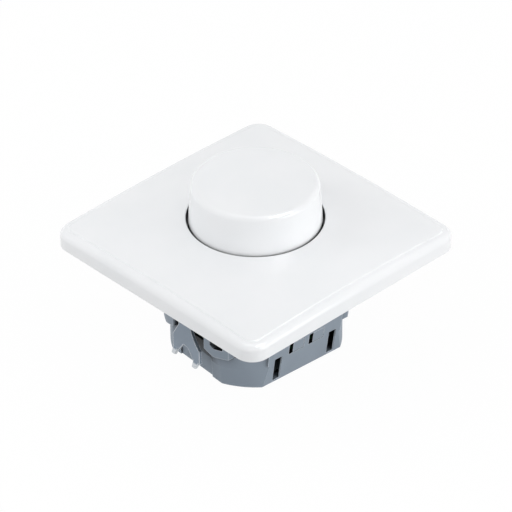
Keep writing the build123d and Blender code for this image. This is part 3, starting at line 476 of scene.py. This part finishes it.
def shader(name):
    """New material, with its node tree and its shader node."""
    material = bpy.data.materials.new(name)
    material.use_nodes = True
    tree = material.node_tree
    return material, tree, tree.nodes["Principled BSDF"]


def speckle(tree, scale, detail=2.0, stretch=(1, 1, 1)):
    """Noise in object space, at a scale per metre."""
    place = tree.nodes.new("ShaderNodeTexCoord")
    mapping = tree.nodes.new("ShaderNodeMapping")
    mapping.inputs["Scale"].default_value = stretch
    noise = tree.nodes.new("ShaderNodeTexNoise")
    noise.inputs["Scale"].default_value = scale
    noise.inputs["Detail"].default_value = detail
    tree.links.new(place.outputs["Object"], mapping.inputs["Vector"])
    tree.links.new(mapping.outputs["Vector"], noise.inputs["Vector"])
    return noise


def tint(tree, noise, dark, light):
    """Colour that drifts between two near shades."""
    ramp = tree.nodes.new("ShaderNodeValToRGB")
    for element, position, shade in zip(ramp.color_ramp.elements, SHADE_BAND, (dark, light)):
        element.position = position
        element.color = (*shade, 1)
    tree.links.new(noise.outputs["Fac"], ramp.inputs["Fac"])
    return ramp.outputs["Color"]


def spread(tree, noise, low, high):
    """Number that drifts between two values."""
    span = tree.nodes.new("ShaderNodeMapRange")
    span.inputs["To Min"].default_value = low
    span.inputs["To Max"].default_value = high
    tree.links.new(noise.outputs["Fac"], span.inputs["Value"])
    return span.outputs["Result"]


def share_between(tree, value, none, full):
    """Number that is 0 where a value is at or before none and 1 where it is at or past full."""
    span = tree.nodes.new("ShaderNodeMapRange")
    span.inputs["From Min"].default_value = none
    span.inputs["From Max"].default_value = full
    tree.links.new(value, span.inputs["Value"])
    return span.outputs["Result"]


def relief(tree, bsdf, noise, depth):
    """Fine relief on a surface, of a depth in metres."""
    node = tree.nodes.new("ShaderNodeBump")
    node.inputs["Strength"].default_value = RELIEF_STRENGTH
    node.inputs["Distance"].default_value = depth
    tree.links.new(noise.outputs["Fac"], node.inputs["Height"])
    tree.links.new(node.outputs["Normal"], bsdf.inputs["Normal"])


def surface(name, dark, light, rough, grain, depth, metallic=0.0, stretch=(1, 1, 1)):
    """Procedural surface: drifting shade, drifting roughness and a fine relief."""
    material, tree, bsdf = shader(name)
    slow = speckle(tree, SHADE_DRIFT)
    fine = speckle(tree, grain, detail=3.0, stretch=stretch)
    tree.links.new(tint(tree, slow, dark, light), bsdf.inputs["Base Color"])
    tree.links.new(spread(tree, fine, *rough), bsdf.inputs["Roughness"])
    bsdf.inputs["Metallic"].default_value = metallic
    relief(tree, bsdf, fine, depth)
    return material


def glass(name):
    """Clear glass with faint waves."""
    material, tree, bsdf = shader(name)
    waves = speckle(tree, GLASS_WAVES)
    tree.links.new(tint(tree, waves, *GLASS_SHADES), bsdf.inputs["Base Color"])
    tree.links.new(spread(tree, waves, *GLASS_ROUGHNESS), bsdf.inputs["Roughness"])
    bsdf.inputs["Transmission Weight"].default_value = GLASS_CLEAR
    bsdf.inputs["IOR"].default_value = GLASS_IOR
    return material


def edge_highlight_mask(tree):
    """Mask for painted edge highlights: 1 on the edges of a shape and 0 on its flats."""
    edge = tree.nodes.new("ShaderNodeBevel")
    edge.samples = EDGE_SAMPLES
    edge.inputs["Radius"].default_value = EDGE_SHINE * MM
    flat = tree.nodes.new("ShaderNodeNewGeometry")
    likeness = tree.nodes.new("ShaderNodeVectorMath")
    likeness.operation = "DOT_PRODUCT"
    tree.links.new(edge.outputs["Normal"], likeness.inputs[0])
    tree.links.new(flat.outputs["Normal"], likeness.inputs[1])
    return share_between(tree, likeness.outputs["Value"], *EDGE_BAND)


def below_mask(tree, height):
    """Number that is 1 below a height in millimetres and 0 above it."""
    place = tree.nodes.new("ShaderNodeTexCoord")
    axes = tree.nodes.new("ShaderNodeSeparateXYZ")
    tree.links.new(place.outputs["Object"], axes.inputs["Vector"])
    return share_between(tree, axes.outputs["Z"], height * MM, (height - HEIGHT_FADE) * MM)


def gap_shade_mask(tree, reach, band, own=False):
    """Mask for painted shade: 1 deep in gaps and 0 in the open; own counts only the piece itself.
    """
    shade = tree.nodes.new("ShaderNodeAmbientOcclusion")
    shade.samples = GAP_SAMPLES
    shade.only_local = own
    shade.inputs["Distance"].default_value = reach * MM
    full, none = band
    return share_between(tree, shade.outputs["AO"], none, full)


def kept_above(tree, mask, height):
    """Mask that is dropped below a height in millimetres."""
    keep = tree.nodes.new("ShaderNodeMath")
    keep.operation = "SUBTRACT"
    keep.use_clamp = True
    tree.links.new(mask, keep.inputs[0])
    tree.links.new(below_mask(tree, height), keep.inputs[1])
    return keep.outputs[0]


def lay_over(tree, layers):
    """Lays colours over a surface's own colour, each one where its mask is."""
    base = tree.nodes["Principled BSDF"].inputs["Base Color"]
    colour = base.links[0].from_socket
    for mask, shade in layers:
        mix = tree.nodes.new("ShaderNodeMix")
        mix.data_type = "RGBA"
        mix.inputs["B"].default_value = (*shade, 1)
        tree.links.new(mask, mix.inputs["Factor"])
        tree.links.new(colour, mix.inputs["A"])
        colour = mix.outputs["Result"]
    tree.links.new(colour, base)


def add_zinc_edges_and_tooth_highlight(tree):
    """Dull zinc plating with bright cut edges, partly bare steel and partly a painted highlight,
    and claw teeth painted brighter as a painted highlight.
    """
    lit_teeth_mask = below_mask(tree, TOOTH_ROOT)
    lay_over(tree, ((edge_highlight_mask(tree), ZINC_EDGE_BARE_AND_HIGHLIGHT), (lit_teeth_mask, ZINC_TOOTH_HIGHLIGHT)))


def add_grey_highlights_and_shade(tree):
    """Matt grey moulding with painted edge highlights, painted shade in its holes and a painted
    shadow behind the claws.
    """
    hole_shade_mask = gap_shade_mask(tree, HOLE_REACH, HOLE_BAND, own=True)
    claw_shadow_mask = kept_above(tree, gap_shade_mask(tree, CLAW_REACH, CLAW_BAND), CLAW_FOOT)
    lay_over(tree, ((edge_highlight_mask(tree), GREY_EDGE_HIGHLIGHT), (hole_shade_mask, GREY_GAP_SHADE), (claw_shadow_mask, GREY_GAP_SHADE)))


def add_white_gap_shade(tree):
    """Glossy white moulding with painted shade in narrow gaps, such as round the knob."""
    lay_over(tree, ((gap_shade_mask(tree, WELL_REACH, WELL_BAND), WHITE_GAP_SHADE),))


def make_materials():
    """One material for each slot of the record."""
    materials = {slot: surface(slot, *finish) for slot, finish in FINISHES.items()}
    materials["clear_glass"] = glass("clear_glass")
    add_white_gap_shade(materials["white_plastic"].node_tree)
    add_grey_highlights_and_shade(materials["grey_plastic"].node_tree)
    add_zinc_edges_and_tooth_highlight(materials["zinc_steel"].node_tree)
    return materials


def dress(materials, new_pieces):
    """Gives every CAD node and new piece the material of its slot."""
    slots = {row["node"]: row["material_slot"] for row in frame["record"]["subparts"]}
    for name, obj in frame["nodes"].items():
        obj.data.materials.clear()
        obj.data.materials.append(materials[slots[name]])
    for piece, slot in new_pieces:
        piece.data.materials.append(materials[slot])


def soften_edges(names, width):
    """Small bevel on the edges of CAD nodes, so that they catch light."""
    for name in names:
        bevel = frame["nodes"][name].modifiers.new("soft_edges", "BEVEL")
        bevel.width = width * MM
        bevel.segments = 2
        bevel.limit_method = "ANGLE"
        bevel.angle_limit = math.radians(EDGE_ANGLE)
        bevel.harden_normals = True


# Stage, light and camera

def make_camera():
    """Camera at the photograph's viewing angle."""
    azimuth, elevation = math.radians(VIEW_AZIMUTH), math.radians(VIEW_ELEVATION)
    back = Vector((
        math.sin(azimuth) * math.cos(elevation),
        -math.cos(azimuth) * math.cos(elevation),
        math.sin(elevation),
    ))
    level = Vector((math.cos(azimuth), math.sin(azimuth), 0))
    upright = back.cross(level)
    roll = math.radians(VIEW_ROLL)
    right = level * math.cos(roll) - upright * math.sin(roll)
    up = level * math.sin(roll) + upright * math.cos(roll)
    per_pixel = VIEW_DISTANCE / VIEW_FOCAL
    middle = FRAME_PIXELS / 2
    across = right * (middle - ORIGIN_PIXEL[0])
    along = up * (ORIGIN_PIXEL[1] - middle)
    place = ((across + along) * per_pixel + back * VIEW_DISTANCE) * MM
    data = bpy.data.cameras.new("camera")
    data.sensor_fit = "HORIZONTAL"
    data.sensor_width = SENSOR_WIDTH
    data.lens = VIEW_FOCAL / FRAME_PIXELS * SENSOR_WIDTH
    data.clip_end = VIEW_END * MM
    camera = link(bpy.data.objects.new("camera", data))
    turn = Matrix((right, up, back)).transposed().to_4x4()
    camera.matrix_world = Matrix.Translation(place) @ turn
    bpy.context.scene.camera = camera


def bright_background(tree, dim, white, share):
    """Mixes a white emission over a shader for camera, glossy and transmission rays."""
    rays = tree.nodes.new("ShaderNodeLightPath")
    total = rays.outputs["Is Camera Ray"]
    for kind in ("Is Glossy Ray", "Is Transmission Ray"):
        either = tree.nodes.new("ShaderNodeMath")
        either.operation = "MAXIMUM"
        tree.links.new(total, either.inputs[0])
        tree.links.new(rays.outputs[kind], either.inputs[1])
        total = either.outputs[0]
    part = tree.nodes.new("ShaderNodeMath")
    part.operation = "MULTIPLY"
    part.inputs[1].default_value = share
    tree.links.new(total, part.inputs[0])
    mix = tree.nodes.new("ShaderNodeMixShader")
    tree.links.new(part.outputs[0], mix.inputs["Fac"])
    tree.links.new(dim.outputs[0], mix.inputs[1])
    tree.links.new(white.outputs[0], mix.inputs[2])
    return mix.outputs[0]


def make_floor():
    """Floor just under the housing: white with a faint shadow, and clear from below."""
    low = cad_box[0][2] / MM - FLOOR_GAP
    signs = ((-1, -1), (1, -1), (1, 1), (-1, 1))
    corners = [(x * FLOOR_HALF, y * FLOOR_HALF, low) for x, y in signs]
    floor = mesh_piece("floor", corners, [(0, 1, 2, 3)])
    material, tree, bsdf = shader("floor")
    bsdf.inputs["Base Color"].default_value = (FLOOR_SHADE, FLOOR_SHADE, FLOOR_SHADE, 1)
    bsdf.inputs["Roughness"].default_value = 1.0
    bsdf.inputs["Specular IOR Level"].default_value = 0.0
    white = tree.nodes.new("ShaderNodeEmission")
    white.inputs["Strength"].default_value = FLOOR_GLOW
    facing = tree.nodes.new("ShaderNodeNewGeometry")
    clear = tree.nodes.new("ShaderNodeBsdfTransparent")
    one_sided = tree.nodes.new("ShaderNodeMixShader")
    tree.links.new(facing.outputs["Backfacing"], one_sided.inputs["Fac"])
    tree.links.new(bright_background(tree, bsdf, white, FLOOR_WHITE), one_sided.inputs[1])
    tree.links.new(clear.outputs[0], one_sided.inputs[2])
    tree.links.new(one_sided.outputs[0], tree.nodes["Material Output"].inputs["Surface"])
    floor.data.materials.append(material)


def make_world():
    """White surroundings that light the object less from straight above than from the sides."""
    world = bpy.data.worlds.new("surroundings")
    world.use_nodes = True
    tree = world.node_tree
    dim = tree.nodes["Background"]
    dim.inputs["Color"].default_value = (1, 1, 1, 1)
    place = tree.nodes.new("ShaderNodeTexCoord")
    axes = tree.nodes.new("ShaderNodeSeparateXYZ")
    rise = tree.nodes.new("ShaderNodeMapRange")
    rise.inputs["To Min"].default_value = WORLD_LOW
    rise.inputs["To Max"].default_value = WORLD_HIGH
    tree.links.new(place.outputs["Generated"], axes.inputs["Vector"])
    tree.links.new(axes.outputs["Z"], rise.inputs["Value"])
    tree.links.new(rise.outputs["Result"], dim.inputs["Strength"])
    white = tree.nodes.new("ShaderNodeBackground")
    white.inputs["Color"].default_value = (1, 1, 1, 1)
    white.inputs["Strength"].default_value = 1.0
    seen = bright_background(tree, dim, white, 1.0)
    tree.links.new(seen, tree.nodes["World Output"].inputs["Surface"])
    bpy.context.scene.world = world


def soft_box(name, direction, distance, size, level):
    """Studio light that looks at the object; level 1 lights a facing white surface to white."""
    data = bpy.data.lights.new(name, "AREA")
    data.shape = "RECTANGLE"
    data.size, data.size_y = size
    data.energy = level * math.pi ** 2 * distance ** 2
    lamp = link(bpy.data.objects.new(name, data))
    toward = Vector(direction).normalized()
    lamp.location = toward * distance
    lamp.rotation_euler = toward.to_track_quat("Z", "Y").to_euler()
    return lamp


def make_lights():
    """Three soft lights, and two that only show as gleams on the gloss."""
    soft_box("key_light", (0.28, -0.94, 0.16), distance=0.7, size=(0.4, 0.4), level=0.38)
    left = soft_box("left_light", (-0.62, 0.5, 0.6), distance=0.45, size=(0.25, 0.25), level=0.21)
    left.visible_glossy = False
    soft_box("right_light", (0.75, -0.25, 0.55), distance=0.7, size=(0.4, 0.4), level=0.03)
    gleams = (
        soft_box("corner_gleam", (0.15, -0.5, 0.85), distance=0.7, size=(0.32, 0.3), level=1.1),
        soft_box("top_gleam", (0.1, 0.1, 0.99), distance=0.7, size=(0.5, 0.3), level=0.2),
    )
    for gleam in gleams:
        gleam.visible_diffuse = False


pieces = [
    (make_plate(), "white_plastic"),
    (make_knob(), "white_plastic"),
    (make_thread(-1, "left_screw"), "zinc_steel"),
    (make_thread(1, "right_screw"), "zinc_steel"),
    (make_spring(), "spring_steel"),
]
dress(make_materials(), pieces)
soften_edges(["carrier", "rear_housing", "left_claw", "right_claw"], BODY_EDGE)
soften_edges(["support_frame", "frame_rivets", "left_claw_screw", "right_claw_screw"], SMALL_EDGE)
make_camera()
make_floor()
make_world()
make_lights()
bpy.context.scene.view_settings.view_transform = "Standard"
